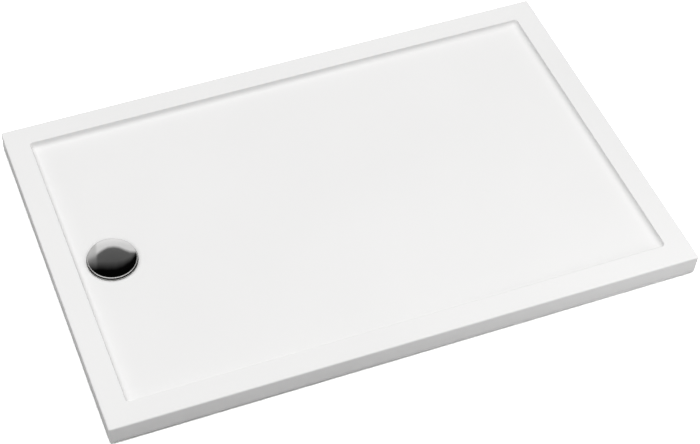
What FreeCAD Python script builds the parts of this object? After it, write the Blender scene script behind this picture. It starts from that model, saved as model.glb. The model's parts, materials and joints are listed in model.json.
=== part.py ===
import FreeCAD, Part
import math
import os

# A low rectangular shower tray with a 90 mm waste, standing on levelling feet.
# Frame, in mm: the origin is on the floor below the middle of the tray.
# +X runs along the long side, away from the drain. +Y is the back, +Z is up.

# --- tray shell ---
tray_length = 1400.0
tray_width = 900.0
apron_height = 50.0
floor_gap = 9.0            # underside of the apron above the floor
rim_width = 56.5
outer_corner_r = 5.0       # upright corners of the apron
least_corner_r = 0.5       # upright corners of what is offset inwards
rim_edge_r = 3.5           # top edge of the apron
recess_corner_r = 7.5
recess_foot_r = 7.0        # cove where the recess wall meets the deck
recess_lip_r = 1.5         # rounded edge from the rim into the recess
wall_run = 4.0             # slant of the recess wall over its height
drain_depth = 17.0         # deck at the waste, below the rim
deck_fall = 1.0 / 300.0    # rise of the deck per mm away from the waste
shell_thickness = 4.0
laminate_thickness = 1.5
laminate_trim = 1.0        # the laminate stops this far above the apron's edge

# --- waste hole ---
drain_from_left = 144.0
drain_hole_r = 45.0
seat_r = 60.5
seat_depth = 3.5

# --- base board ---
board_thickness = 9.0
board_margin = 8.0         # board edge inside the recess edge
board_hole_clearance = 2.5 # around the laminate of the seat's dish
board_corner_r = 12.0

# --- waste flange and seals ---
seat_clearance = 1.0       # flange inside the seat
flange_thickness = 2.0
flange_bore_r = 29.0
flange_collar_wall = 1.5
flange_collar_depth = 4.0
flange_step_width = 3.0
flange_step_depth = 1.0
seal_clearance = 1.0       # seals outside the waste hole
lower_seal_inset = 2.0     # lower seal inside the body's flange
lower_seal_thickness = 2.0
flange_screw_count = 4
flange_screw_angle = 45.0
flange_screw_inset = 5.5   # screw axes inside the body's outer wall
flange_screw_r = 2.0
flange_screw_head_r = 4.0
flange_screw_length = 14.0
screw_slot_width = 1.0
screw_slot_depth = 0.9

# --- waste body ---
body_flange_width = 16.5
body_flange_thickness = 3.5
body_clearance = 1.5       # body inside the waste hole
body_wall = 2.5
body_collar_rise = 7.0     # centring collar above the body's flange
bowl_depth = 8.0           # inside of the bowl below the flange's top face
bowl_floor_fall = 1.2
boss_r = 4.5
boss_gap = 0.3
spigot_r = 20.0
spigot_wall = 2.5
spigot_floor_gap = 2.0

# --- odour insert ---
insert_pass_clearance = 4.0 # insert smaller than the flange's bore, to lift through it
insert_flange_thickness = 2.0
insert_seat_clearance = 0.5
insert_tube_clearance = 0.6
insert_wall = 2.0
insert_tube_length = 9.0
insert_ring_below = 3.0    # upper side of the ring's groove below the flange
o_ring_section_r = 1.1
o_ring_clearance = 0.1
groove_side_gap = 0.15
handle_height = 8.0
handle_width = 3.0
handle_thickness = 2.5
membrane_rim_thickness = 1.5
membrane_wall = 1.0
membrane_tip_inset = 1.5   # tip of the membrane above the end of the spigot
membrane_tip_side_inset = 2.4
membrane_tip_half_gap = 0.5

# --- hair strainer ---
strainer_clearance = 0.5
strainer_side_clearance = 1.0
strainer_wall = 1.2
strainer_depth = 7.0
strainer_hole_r = 1.7
strainer_first_ring_r = 7.4
strainer_ring_step = 5.4
strainer_rings = 4
strainer_holes_per_ring = 6
knob_r = 4.0
knob_height = 3.2

# --- drain cover ---
cover_inset = 2.0          # cover inside the waste flange
cover_gap = 3.2            # lower edge of the cover above the deck
cover_edge_height = 3.4
cover_edge_r = 1.8
cover_rise = 4.6           # crown of the dome above its rounded edge
cover_wall = 1.4
carrier_leg_count = 4
carrier_leg_angle = 45.0
carrier_clearance = 0.5
carrier_wall = 2.4
carrier_leg_width = 10.0
carrier_leg_depth = 4.5    # reach of the legs below the flange's top
carrier_arm_reach = 10.0
carrier_arm_width = 6.0
carrier_arm_height = 4.0

# --- levelling feet ---
foot_inset = 65.5          # foot axes inside the board's edges
plate_size = 60.0
plate_thickness = 2.5
plate_corner_r = 5.0
plate_screw_spacing = 44.0
nut_sides = 6
nut_width = 17.0           # across the flats, welded nut and lock nut alike
weld_nut_height = 6.0
lock_nut_height = 5.0
thread_r = 5.0
thread_clearance = 0.05
stud_hole_clearance = 1.5
stud_tip_gap = 0.75        # stud to laminate with the tray screwed right down
levelling_down = 3.75
stud_collar_r = 8.0
stud_collar_thickness = 2.0
stud_flat_width = 8.0
stud_flat_height = 3.5
stud_chamfer = 1.0
pad_r = 25.0
pad_thickness = 3.0
pad_hub_r = 12.0
pad_floor = 1.6
pad_lip = 1.5
collar_clearance = 0.3
collar_lift = 0.2
sole_inset = 0.5
sole_thickness = 2.0
plate_screw_r = 2.0
plate_screw_length = 7.5
plate_screw_head_r = 4.0
plate_screw_head_height = 2.4
plate_screw_edge_r = 1.2
screw_clearance = 0.05

# --- levels and places that follow from the sizes ---
up = FreeCAD.Vector(0, 0, 1)
full_turn = 360.0
overshoot = 5.0            # how far a cutting shape runs past what it cuts
pick_gap = 0.01            # slack when edges are picked by their height

rim_z = floor_gap + apron_height
drain_x = drain_from_left - tray_length / 2
drain_at = (drain_x, 0.0)
deck_z = rim_z - drain_depth
seat_z = deck_z - seat_depth
bed_z = deck_z - shell_thickness - laminate_thickness
dish_z = seat_z - shell_thickness - laminate_thickness
backing = shell_thickness + laminate_thickness

body_r = drain_hole_r - body_clearance
body_flange_r = body_r + body_flange_width
lower_seal_r = body_flange_r - lower_seal_inset
seal_bore_r = drain_hole_r + seal_clearance
board_hole_r = seat_r + backing + board_hole_clearance
flange_r = seat_r - seat_clearance
flange_step_r = flange_bore_r + flange_step_width
flange_screw_circle_r = body_r - flange_screw_inset
spigot_bore_r = spigot_r - spigot_wall
insert_flange_r = flange_bore_r - insert_pass_clearance
insert_tube_r = spigot_bore_r - insert_tube_clearance
insert_bore_r = insert_tube_r - insert_wall
cover_r = flange_r - cover_inset

flange_under_z = deck_z - flange_thickness
body_top_z = dish_z - lower_seal_thickness
bowl_z = body_top_z - bowl_depth
insert_seat_z = bowl_z - bowl_floor_fall
insert_top_z = insert_seat_z + insert_flange_thickness
tube_end_z = insert_seat_z - insert_tube_length
strainer_lip_z = deck_z - flange_step_depth

board_z = bed_z - board_thickness
plate_z = board_z - plate_thickness
weld_nut_z = plate_z - weld_nut_height
lock_nut_z = weld_nut_z - lock_nut_height
stud_top_z = bed_z - stud_tip_gap - levelling_down
collar_z = sole_thickness + pad_floor
collar_top_z = collar_z + stud_collar_thickness
pad_top_z = collar_top_z + collar_lift + pad_lip


# --- shapes used more than once ---
def cylinder(radius, low, high, at=drain_at):
    return Part.makeCylinder(radius, high - low, FreeCAD.Vector(at[0], at[1], low))


def ring(bore, radius, low, high, at=drain_at):
    return cylinder(radius, low, high, at).cut(cylinder(bore, low, high, at))


def block(size_x, size_y, low, high, at=(0.0, 0.0), angle=0.0):
    corner = FreeCAD.Vector(-size_x / 2, -size_y / 2, low)
    shape = Part.makeBox(size_x, size_y, high - low, corner)
    shape.rotate(FreeCAD.Vector(0, 0, 0), up, angle)
    shape.translate(FreeCAD.Vector(at[0], at[1], 0))
    return shape


def upright_edges(shape):
    middle = (shape.BoundBox.ZMin + shape.BoundBox.ZMax) / 2
    return [e for e in shape.Edges if e.BoundBox.ZMin < middle < e.BoundBox.ZMax]


def rounded_block(size_x, size_y, low, high, radius, at=(0.0, 0.0)):
    shape = block(size_x, size_y, low, high, at)
    return shape.makeFillet(radius, upright_edges(shape))


def turned(edges, at=drain_at):
    """A solid of revolution about the upright axis at a place, from its half section."""
    face = Part.Face(Part.Wire(edges))
    solid = face.revolve(FreeCAD.Vector(0, 0, 0), up, full_turn)
    solid.translate(FreeCAD.Vector(at[0], at[1], 0))
    return solid


def section(points):
    """Straight edges of a closed half section, from its (radius, height) corners."""
    corners = [FreeCAD.Vector(r, 0, z) for r, z in points]
    return Part.makePolygon(corners + corners[:1]).Edges


def on_circle(count, radius, first_angle=0.0, at=drain_at):
    """Places evenly spaced on a circle, each with its angle in degrees."""
    places = []
    for step in range(count):
        angle = first_angle + full_turn * step / count
        x = at[0] + radius * math.cos(math.radians(angle))
        y = at[1] + radius * math.sin(math.radians(angle))
        places.append((x, y, angle))
    return places


def nut_blank(low, high, at):
    radius = nut_width / 2 / math.cos(math.pi / nut_sides)
    corners = [FreeCAD.Vector(x, y, low) for x, y, angle in on_circle(nut_sides, radius, 0.0, at)]
    return Part.Face(Part.makePolygon(corners + corners[:1])).extrude(up * (high - low))


def with_cross_slot(screw, low, length, at, angle=0.0):
    for turn in (angle, angle + full_turn / 4):
        slot = block(length, screw_slot_width, low, low + screw_slot_depth, at, turn)
        screw = screw.cut(slot)
    return screw


def fused(shapes):
    return shapes[0].multiFuse(shapes[1:])


# --- tray ---
def outer_block(offset, low):
    """The tray's outline with its recess filled in, taken in by an offset."""
    size_x = tray_length - 2 * offset
    size_y = tray_width - 2 * offset
    top = rim_z - offset
    corner_r = max(outer_corner_r - offset, least_corner_r)
    shape = rounded_block(size_x, size_y, low, top, corner_r)
    if rim_edge_r > offset:
        edges = [e for e in shape.Edges if e.BoundBox.ZMin > top - pick_gap]
        shape = shape.makeFillet(rim_edge_r - offset, edges)
    return shape


def recess_prism(offset, low):
    """The space between the slanted walls of the recess, grown by an offset."""
    wires = []
    for level in (low, rim_z + overshoot):
        slant = wall_run * (rim_z - level) / drain_depth
        half_x = tray_length / 2 - rim_width - slant + offset
        half_y = tray_width / 2 - rim_width - slant + offset
        corners = [(-half_x, -half_y), (half_x, -half_y), (half_x, half_y), (-half_x, half_y)]
        points = [FreeCAD.Vector(x, y, level) for x, y in corners]
        wires.append(Part.makePolygon(points + points[:1]))
    prism = Part.makeLoft(wires, True, True)
    return prism.makeFillet(recess_corner_r + offset, upright_edges(prism))


def recess_space(offset):
    """The recess down to the deck, which is a wide shallow cone about the waste."""
    reach = tray_length + tray_width
    centre_z = deck_z - offset - deck_fall * seat_r
    edge_z = centre_z + deck_fall * reach
    top = rim_z + overshoot + reach * deck_fall
    above_deck = turned(section([(0, centre_z), (reach, edge_z), (reach, top), (0, top)]))
    return recess_prism(offset, centre_z - overshoot).common(above_deck)


def with_cove(space):
    """Rounds the lower edges of the recess, where its walls meet the deck."""
    edges = [e for e in space.Edges if e.BoundBox.ZMin > deck_z and e.BoundBox.ZMax < rim_z]
    return space.makeFillet(recess_foot_r, edges)


def with_lip(tray):
    """Rounds the edge where the rim turns down into the recess."""
    half_x = (tray_length - rim_width) / 2
    half_y = (tray_width - rim_width) / 2
    inner_rim = FreeCAD.BoundBox(-half_x, -half_y, rim_z - pick_gap,
                                 half_x, half_y, rim_z + pick_gap)
    edges = [e for e in tray.Edges if inner_rim.isInside(e.BoundBox)]
    return tray.makeFillet(recess_lip_r, edges)


def tray_shell():
    dish = cylinder(seat_r + shell_thickness, seat_z - shell_thickness, rim_z)
    solid = with_lip(outer_block(0.0, floor_gap).cut(with_cove(recess_space(0.0))))
    hollow = outer_block(shell_thickness, floor_gap - overshoot)
    hollow = hollow.cut(recess_space(shell_thickness)).cut(dish)
    shell = solid.cut(hollow)
    shell = shell.cut(cylinder(seat_r, seat_z, rim_z))
    return shell.cut(cylinder(drain_hole_r, floor_gap, rim_z))


def glassfibre_backing():
    """Laminate on the shell's hidden side, filled level where the board is bedded."""
    dish = cylinder(seat_r + shell_thickness, seat_z - shell_thickness, rim_z)
    outside = outer_block(shell_thickness, floor_gap + laminate_trim)
    outside = outside.cut(recess_space(shell_thickness)).cut(dish)
    backed_dish = cylinder(seat_r + backing, dish_z, rim_z)
    inside = outer_block(backing, floor_gap - overshoot)
    inside = inside.cut(recess_prism(backing, bed_z)).cut(backed_dish)
    laminate = outside.cut(inside)
    return laminate.cut(cylinder(drain_hole_r, floor_gap, rim_z))


def base_board():
    inset = rim_width + board_margin
    size_x = tray_length - 2 * inset
    size_y = tray_width - 2 * inset
    board = rounded_block(size_x, size_y, board_z, bed_z, board_corner_r)
    holes = [cylinder(board_hole_r, board_z, bed_z)]
    for name, at in foot_places():
        holes.append(cylinder(thread_r + stud_hole_clearance, board_z, bed_z, at))
        for place in plate_screw_places(at):
            tip = plate_z + plate_screw_length
            holes.append(cylinder(plate_screw_r + screw_clearance, board_z, tip, place))
    return board.cut(holes)


# --- waste ---
def waste_flange():
    collar_r = flange_bore_r + flange_collar_wall
    collar = cylinder(collar_r, flange_under_z - flange_collar_depth, deck_z)
    flange = fused([cylinder(flange_r, flange_under_z, deck_z), collar])
    flange = flange.cut(cylinder(flange_bore_r, body_top_z, deck_z))
    flange = flange.cut(cylinder(flange_step_r, strainer_lip_z, deck_z))
    return flange.cut([countersunk(screw_clearance, 0.0, at) for at, angle in flange_screw_places()])


def flange_screw_places():
    places = on_circle(flange_screw_count, flange_screw_circle_r, flange_screw_angle)
    return [((x, y), angle) for x, y, angle in places]


def countersunk(clearance, sink, at):
    """A flat-headed screw's outline, or its hole when a clearance is given."""
    radius = flange_screw_r + clearance
    head_r = flange_screw_head_r + clearance
    top = deck_z - sink
    neck = top - (head_r - radius)
    tip = deck_z - flange_screw_length - clearance
    return turned(section([(0, tip), (radius, tip), (radius, neck), (head_r, top), (0, top)]), at)


def flange_screws():
    screws = []
    for at, angle in flange_screw_places():
        screw = countersunk(0.0, screw_clearance, at)
        slot_z = deck_z - screw_slot_depth
        screws.append(with_cross_slot(screw, slot_z, flange_screw_head_r, at, angle))
    return Part.makeCompound(screws)


def waste_body():
    flange_low_z = body_top_z - body_flange_thickness
    inner_r = body_r - body_wall
    seat_edge_r = insert_flange_r + insert_seat_clearance
    spigot_top_z = insert_seat_z - body_wall
    shell = turned(section([
        (spigot_bore_r, spigot_floor_gap), (spigot_r, spigot_floor_gap),
        (spigot_r, spigot_top_z), (body_r, spigot_top_z + bowl_floor_fall),
        (body_r, flange_low_z), (body_flange_r, flange_low_z),
        (body_flange_r, body_top_z), (body_r, body_top_z),
        (body_r, body_top_z + body_collar_rise), (inner_r, body_top_z + body_collar_rise),
        (inner_r, bowl_z + bowl_floor_fall), (seat_edge_r, bowl_z),
        (seat_edge_r, insert_seat_z), (spigot_bore_r, insert_seat_z)]))
    bosses = []
    holes = []
    tip = deck_z - flange_screw_length - screw_clearance
    for at, angle in flange_screw_places():
        bosses.append(cylinder(boss_r, bowl_z, flange_under_z - boss_gap, at))
        holes.append(cylinder(flange_screw_r + screw_clearance, tip, deck_z, at))
    return fused([shell] + bosses).cut(holes)


def odour_insert():
    groove_top = insert_seat_z - insert_ring_below
    groove_low = groove_top - 2 * (o_ring_section_r + groove_side_gap)
    groove_r = spigot_bore_r - o_ring_clearance - 2 * o_ring_section_r
    parts = [turned(section([
        (insert_bore_r, tube_end_z), (insert_tube_r, tube_end_z), (insert_tube_r, groove_low),
        (groove_r, groove_low), (groove_r, groove_top), (insert_tube_r, groove_top),
        (insert_tube_r, insert_seat_z), (insert_flange_r, insert_seat_z),
        (insert_flange_r, insert_top_z), (insert_bore_r, insert_top_z)]))]
    post_at = insert_tube_r + handle_width / 2
    bar_z = insert_top_z + handle_height
    for side in (-1, 1):
        post = (drain_x, side * post_at)
        parts.append(block(handle_width, handle_width, insert_top_z, bar_z, post))
    span = 2 * post_at + handle_width
    parts.append(block(handle_width, span, bar_z - handle_thickness, bar_z, drain_at))
    return fused(parts)


def insert_o_ring():
    middle_r = spigot_bore_r - o_ring_clearance - o_ring_section_r
    middle_z = insert_seat_z - insert_ring_below - o_ring_section_r - groove_side_gap
    return Part.makeTorus(middle_r, o_ring_section_r, FreeCAD.Vector(drain_x, 0, middle_z), up)


def duckbill(shrink, top, tip):
    """A tube that flattens from a circle to a narrow slit, less a wall on each side."""
    half_width = insert_bore_r - membrane_tip_side_inset
    half_gap = membrane_tip_half_gap + membrane_wall
    circle = Part.Wire([Part.makeCircle(insert_bore_r - shrink, FreeCAD.Vector(drain_x, 0, top))])
    slit = Part.Ellipse(FreeCAD.Vector(drain_x, 0, tip), half_width - shrink, half_gap - shrink)
    return Part.makeLoft([circle, Part.Wire([slit.toShape()])], True, True)


def duckbill_membrane():
    top = tube_end_z - membrane_rim_thickness
    tip = spigot_floor_gap + membrane_tip_inset
    rim = ring(insert_bore_r - membrane_wall, insert_tube_r, top, tube_end_z)
    lips = duckbill(0.0, top, tip).cut(duckbill(membrane_wall, top, tip))
    return fused([rim, lips])


def hair_strainer():
    lip_r = flange_step_r - strainer_clearance
    basket_r = flange_bore_r - strainer_side_clearance
    floor_z = deck_z - strainer_depth
    floor_top_z = floor_z + strainer_wall
    basket = cylinder(basket_r, floor_z, deck_z)
    basket = basket.cut(cylinder(basket_r - strainer_wall, floor_top_z, deck_z))
    lip = ring(basket_r - strainer_wall, lip_r, strainer_lip_z, deck_z)
    holes = []
    for number in range(strainer_rings):
        count = (number + 1) * strainer_holes_per_ring
        radius = strainer_first_ring_r + number * strainer_ring_step
        for x, y, angle in on_circle(count, radius):
            holes.append(cylinder(strainer_hole_r, floor_z, floor_top_z, (x, y)))
    knob = cylinder(knob_r, floor_z, floor_top_z + knob_height)
    return fused([basket, lip, knob]).cut(holes)


def dome_points():
    """Centres and tangent direction of the dome's crown and of its rounded edge."""
    edge_low_z = deck_z + cover_gap
    edge_centre = FreeCAD.Vector(cover_r - cover_edge_r, 0,
                                 edge_low_z + cover_edge_height - cover_edge_r)
    rise = cover_rise + cover_edge_r
    crown_z = edge_centre.z + rise
    half = edge_centre.x
    drop = rise - cover_edge_r
    radius = (half * half + drop * drop) / (2 * drop) + cover_edge_r
    centre = FreeCAD.Vector(0, 0, crown_z - radius)
    direction = (edge_centre - centre).normalize()
    return edge_low_z, edge_centre, centre, radius, direction


def dome_line(shrink):
    """The dome's outline from its crown to the bottom of its edge."""
    edge_low_z, edge_centre, centre, radius, direction = dome_points()
    crown = centre + up * (radius - shrink)
    joint = centre + direction * (radius - shrink)
    between = (direction + up).normalize()
    side = edge_centre + FreeCAD.Vector(cover_edge_r - shrink, 0, 0)
    turn = (direction + FreeCAD.Vector(1, 0, 0)).normalize()
    crown_arc = Part.Arc(crown, centre + between * (radius - shrink), joint)
    edge_arc = Part.Arc(joint, edge_centre + turn * (cover_edge_r - shrink), side)
    foot = FreeCAD.Vector(side.x, 0, edge_low_z)
    return [crown_arc.toShape(), edge_arc.toShape(), Part.makeLine(side, foot)], crown, foot


def drain_cover():
    outer, crown, foot = dome_line(0.0)
    inner, inner_crown, inner_foot = dome_line(cover_wall)
    rim = Part.makeLine(foot, inner_foot)
    axis = Part.makeLine(inner_crown, crown)
    edges = outer + [rim] + inner[::-1] + [axis]
    return turned(Part.__sortEdges__(edges))


def space_under_dome():
    inner, crown, foot = dome_line(cover_wall)
    floor = FreeCAD.Vector(0, 0, foot.z - carrier_leg_depth - drain_depth)
    corner = FreeCAD.Vector(foot.x, 0, floor.z)
    sides = [Part.makeLine(foot, corner), Part.makeLine(corner, floor), Part.makeLine(floor, crown)]
    return turned(Part.__sortEdges__(inner + sides))


def cover_carrier():
    """Ring under the dome whose arms stand on the flange and whose legs centre it."""
    leg_r = flange_bore_r - strainer_side_clearance - strainer_wall - carrier_clearance
    bore_r = leg_r - carrier_wall
    arm_top_z = deck_z + carrier_arm_height
    crown_z = deck_z + drain_depth
    parts = [ring(bore_r, leg_r, arm_top_z - carrier_wall, crown_z)]
    leg_band = ring(bore_r, leg_r, deck_z - carrier_leg_depth, arm_top_z)
    arm_length = carrier_wall + carrier_arm_reach
    for x, y, angle in on_circle(carrier_leg_count, bore_r + arm_length / 2, carrier_leg_angle):
        parts.append(block(arm_length, carrier_arm_width, deck_z, arm_top_z, (x, y), angle))
    for x, y, angle in on_circle(carrier_leg_count, leg_r, carrier_leg_angle):
        window = block(2 * carrier_wall + carrier_leg_width, carrier_leg_width,
                       deck_z - carrier_leg_depth, arm_top_z, (x, y), angle)
        parts.append(leg_band.common(window))
    return fused(parts).common(space_under_dome())


# --- levelling feet ---
def foot_places():
    """Three rows of three, less the place that the waste takes."""
    columns = ((-1, "left"), (0, "middle"), (1, "right"))
    rows = ((-1, "front"), (0, "centre"), (1, "back"))
    inset = rim_width + board_margin + foot_inset
    places = []
    for row, row_name in rows:
        for column, column_name in columns:
            x = column * (tray_length / 2 - inset)
            y = row * (tray_width / 2 - inset)
            if (row, column) != (0, -1):
                places.append((row_name + "_" + column_name, (x, y)))
    return places


def plate_screw_places(at):
    half = plate_screw_spacing / 2
    return [(at[0] + i * half, at[1] + j * half) for i in (-1, 1) for j in (-1, 1)]


def foot_plate(at):
    plate = rounded_block(plate_size, plate_size, plate_z, board_z, plate_corner_r, at)
    plate = fused([plate, nut_blank(weld_nut_z, plate_z, at)])
    holes = [cylinder(thread_r, weld_nut_z, board_z, at)]
    for place in plate_screw_places(at):
        holes.append(cylinder(plate_screw_r + screw_clearance, plate_z, board_z, place))
    return plate.cut(holes)


def plate_screw(at):
    low = plate_z - plate_screw_head_height
    head = cylinder(plate_screw_head_r, low, plate_z, at)
    edges = [e for e in head.Edges if e.BoundBox.ZMax < plate_z - pick_gap]
    head = head.makeFillet(plate_screw_edge_r, edges)
    shank = cylinder(plate_screw_r, plate_z, plate_z + plate_screw_length - screw_clearance, at)
    return with_cross_slot(fused([head, shank]), low, plate_screw_head_r, at)


def plate_screws():
    screws = []
    for name, at in foot_places():
        for place in plate_screw_places(at):
            screws.append(plate_screw(place))
    return Part.makeCompound(screws)


def lock_nuts():
    nuts = []
    for name, at in foot_places():
        nut = nut_blank(lock_nut_z, weld_nut_z, at)
        nuts.append(nut.cut(cylinder(thread_r, lock_nut_z, weld_nut_z, at)))
    return Part.makeCompound(nuts)


def foot_stud(at):
    radius = thread_r - thread_clearance
    stud = turned(section([
        (0, collar_z), (stud_collar_r, collar_z), (stud_collar_r, collar_top_z),
        (radius, collar_top_z), (radius, stud_top_z - stud_chamfer),
        (radius - stud_chamfer, stud_top_z), (0, stud_top_z)]), at)
    low = pad_top_z
    high = pad_top_z + stud_flat_height
    keep = block(2 * stud_flat_width, stud_flat_width, low, high, at)
    flats = cylinder(stud_collar_r, low, high, at).cut(keep)
    return stud.cut(flats)


def foot_pad(at):
    low = sole_thickness
    base_top = low + pad_thickness
    opening_r = thread_r + collar_clearance
    cavity_r = stud_collar_r + collar_clearance
    cavity_top = collar_top_z + collar_lift
    return turned(section([
        (0, low), (pad_r, low), (pad_r, base_top - pad_lip), (pad_hub_r + pad_lip, base_top),
        (pad_hub_r, pad_top_z), (opening_r, pad_top_z), (opening_r, cavity_top),
        (cavity_r, cavity_top), (cavity_r, collar_z), (0, collar_z)]), at)


def foot_sole(at):
    return cylinder(pad_r - sole_inset, 0, sole_thickness, at)


def nodes():
    """Every piece of the tray under the name it is kept by."""
    pieces = {
        "tray_shell": tray_shell(),
        "glassfibre_backing": glassfibre_backing(),
        "base_board": base_board(),
        "waste_body": waste_body(),
        "lower_seal": ring(seal_bore_r, lower_seal_r, body_top_z, dish_z),
        "upper_seal": ring(seal_bore_r, flange_r, seat_z, flange_under_z),
        "waste_flange": waste_flange(),
        "flange_screws": flange_screws(),
        "odour_insert": odour_insert(),
        "insert_o_ring": insert_o_ring(),
        "duckbill_membrane": duckbill_membrane(),
        "hair_strainer": hair_strainer(),
        "drain_cover": drain_cover(),
        "cover_carrier": cover_carrier(),
        "plate_screws": plate_screws(),
        "lock_nuts": lock_nuts(),
    }
    for name, at in foot_places():
        pieces["foot_plate_" + name] = foot_plate(at)
        pieces["foot_stud_" + name] = foot_stud(at)
        pieces["foot_pad_" + name] = foot_pad(at)
        pieces["foot_sole_" + name] = foot_sole(at)
    return pieces


os.makedirs("parts", exist_ok=True)
for node_name, piece in nodes().items():
    piece.exportStep("parts/" + node_name + ".step")
    print(node_name, len(piece.Solids), round(piece.Volume), piece.isValid())
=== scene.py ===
import bpy
import bmesh
import json
import math
from mathutils import Matrix, Vector


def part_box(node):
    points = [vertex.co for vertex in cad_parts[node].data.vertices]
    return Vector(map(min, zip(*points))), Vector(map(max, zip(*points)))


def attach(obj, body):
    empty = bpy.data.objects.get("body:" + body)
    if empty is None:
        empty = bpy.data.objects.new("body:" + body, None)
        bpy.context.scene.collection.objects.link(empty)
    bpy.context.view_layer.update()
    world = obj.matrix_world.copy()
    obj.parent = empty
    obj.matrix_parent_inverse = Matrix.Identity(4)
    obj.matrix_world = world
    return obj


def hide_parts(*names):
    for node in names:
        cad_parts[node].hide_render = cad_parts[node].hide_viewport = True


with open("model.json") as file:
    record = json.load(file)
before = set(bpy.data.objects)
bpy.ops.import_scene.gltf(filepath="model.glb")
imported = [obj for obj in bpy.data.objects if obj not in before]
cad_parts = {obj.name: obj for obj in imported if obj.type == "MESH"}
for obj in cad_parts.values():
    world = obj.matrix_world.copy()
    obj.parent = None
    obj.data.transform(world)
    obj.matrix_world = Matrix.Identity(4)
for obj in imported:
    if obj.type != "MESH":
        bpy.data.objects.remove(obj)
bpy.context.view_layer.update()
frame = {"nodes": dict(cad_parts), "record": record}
nodes = frame["nodes"]

# --- sizes repeated from the part, in metres ---
tray_length = 1.400
tray_width = 0.900
floor_gap = 0.009
rim_z = 0.059
rim_width = 0.0565
outer_corner_r = 0.005
rim_edge_r = 0.0035
recess_corner_r = 0.0075
recess_foot_r = 0.007
recess_lip_r = 0.0015
wall_run = 0.004
drain_depth = 0.017
deck_fall = 1 / 300
shell_thickness = 0.004
drain = Vector((-0.556, 0.0, 0.0))
seat_r = 0.0605
seat_depth = 0.0035
drain_hole_r = 0.045
deck_z = rim_z - drain_depth
seat_z = deck_z - seat_depth
cover_r = 0.0575
cover_gap = 0.0032
cover_edge_height = 0.0034
cover_edge_r = 0.0018
cover_rise = 0.0046
cover_wall = 0.0014
board_inset = 0.0645
board_low_z = 0.0275
board_top_z = 0.0365
board_corner_r = 0.012
board_hole_r = 0.0685
stud_hole_r = 0.0065
plate_size = 0.060
plate_corner_r = 0.005
plate_low_z = 0.025
plate_screw_spacing = 0.044
plate_screw_r = 0.002
plate_screw_head_r = 0.004
plate_screw_head_low_z = 0.0226
plate_screw_tip_z = 0.0324
screw_slot_width = 0.001
screw_slot_depth = 0.0009
nut_width = 0.017
weld_nut_low_z = 0.019
lock_nut_low_z = 0.014
bore_r = 0.005
thread_r = 0.00495
thread_pitch = 0.0015
thread_depth = 0.0006
stud_collar_r = 0.008
stud_low_z = 0.0036
stud_collar_top_z = 0.0056
stud_flats_low_z = 0.0073
stud_flats_top_z = 0.0108
stud_flat_half = 0.004
stud_top_z = 0.032
pad_r = 0.025
pad_low_z = 0.002
pad_edge_z = 0.0035
pad_shoulder_z = 0.005
pad_hub_r = 0.012
pad_lip = 0.0015
pad_top_z = 0.0073
pad_cavity_top_z = 0.0058
pad_cavity_r = 0.0083
pad_opening_r = 0.0053
sole_r = 0.0245


# --- node helpers ---
def new_material(name, colour, roughness, metallic=0.0):
    mat = bpy.data.materials.new(name)
    mat.use_nodes = True
    shader = mat.node_tree.nodes["Principled BSDF"]
    shader.inputs["Base Color"].default_value = (*colour, 1.0)
    shader.inputs["Roughness"].default_value = roughness
    shader.inputs["Metallic"].default_value = metallic
    return mat, shader


def place(mat, stretch=(1.0, 1.0, 1.0), turn=0.0, tilt=0.0):
    """Object coordinates in metres, turned about Z and X and then stretched."""
    tree = mat.node_tree
    coords = tree.nodes.new("ShaderNodeTexCoord")
    mapping = tree.nodes.new("ShaderNodeMapping")
    mapping.inputs["Scale"].default_value = [1 / s for s in stretch]
    mapping.vector_type = "TEXTURE"
    mapping.inputs["Rotation"].default_value = (tilt, 0.0, turn)
    tree.links.new(coords.outputs["Object"], mapping.inputs["Vector"])
    return mapping.outputs["Vector"]


def polar(mat, factors):
    """Radius, angle and height about the drain's axis, each with its factor."""
    tree = mat.node_tree
    coords = tree.nodes.new("ShaderNodeTexCoord")
    shift = tree.nodes.new("ShaderNodeVectorMath")
    shift.operation = "SUBTRACT"
    shift.inputs[1].default_value = drain
    split = tree.nodes.new("ShaderNodeSeparateXYZ")
    tree.links.new(coords.outputs["Object"], shift.inputs[0])
    tree.links.new(shift.outputs["Vector"], split.inputs["Vector"])
    flat = tree.nodes.new("ShaderNodeCombineXYZ")
    tree.links.new(split.outputs["X"], flat.inputs["X"])
    tree.links.new(split.outputs["Y"], flat.inputs["Y"])
    length = tree.nodes.new("ShaderNodeVectorMath")
    length.operation = "LENGTH"
    tree.links.new(flat.outputs["Vector"], length.inputs[0])
    angle = tree.nodes.new("ShaderNodeMath")
    angle.operation = "ARCTAN2"
    tree.links.new(split.outputs["Y"], angle.inputs[0])
    tree.links.new(split.outputs["X"], angle.inputs[1])
    together = tree.nodes.new("ShaderNodeCombineXYZ")
    tree.links.new(length.outputs["Value"], together.inputs["X"])
    tree.links.new(angle.outputs["Value"], together.inputs["Y"])
    tree.links.new(split.outputs["Z"], together.inputs["Z"])
    scaled = tree.nodes.new("ShaderNodeVectorMath")
    scaled.operation = "MULTIPLY"
    scaled.inputs[1].default_value = factors
    tree.links.new(together.outputs["Vector"], scaled.inputs[0])
    return scaled.outputs["Vector"]


def noise(mat, vector, scale, detail, roughness=0.5, distortion=0.0):
    tree = mat.node_tree
    node = tree.nodes.new("ShaderNodeTexNoise")
    node.inputs["Scale"].default_value = scale
    node.inputs["Detail"].default_value = detail
    node.inputs["Roughness"].default_value = roughness
    node.inputs["Distortion"].default_value = distortion
    tree.links.new(vector, node.inputs["Vector"])
    return node.outputs["Fac"]


def cells(mat, vector, scale, output="Distance", feature="F1"):
    tree = mat.node_tree
    node = tree.nodes.new("ShaderNodeTexVoronoi")
    node.feature = feature
    node.inputs["Scale"].default_value = scale
    tree.links.new(vector, node.inputs["Vector"])
    return node.outputs[output]


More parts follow.
